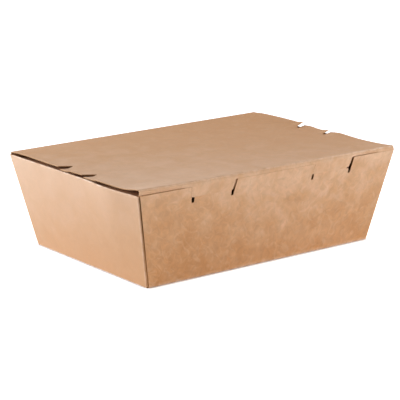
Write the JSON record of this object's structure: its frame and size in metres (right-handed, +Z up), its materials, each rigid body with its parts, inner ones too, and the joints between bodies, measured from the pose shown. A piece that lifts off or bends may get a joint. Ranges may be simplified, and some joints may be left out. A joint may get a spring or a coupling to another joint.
{
  "type": "takeaway box",
  "caption": "Flared brown kraft board takeaway box with a creased flip lid, tucked front flap, slanted front locks and side dust flaps.",
  "frame": {"origin": "centre of the underside of the base, on the surface that the box stands on", "axes": "+X to the right along the front wall, +Y from the front lock side to the lid's crease at the back, +Z up"},
  "size_m": [0.1998, 0.1392, 0.0619],
  "materials": {
    "tray_board": "uncoated brown kraft board, matte",
    "lid_board": "uncoated brown kraft board, matte"
  },
  "bodies": {
    "tray": {"tray": "tray_board"},
    "lid": {"lid": "lid_board"}
  },
  "joints": [
    {"name": "lid_hinge", "type": "hinge", "parent": "tray", "child": "lid", "pos_m": [0, 0.06948, 0.06035], "axis": [-1, 0, 0], "range_deg": [0, 200]}
  ]
}
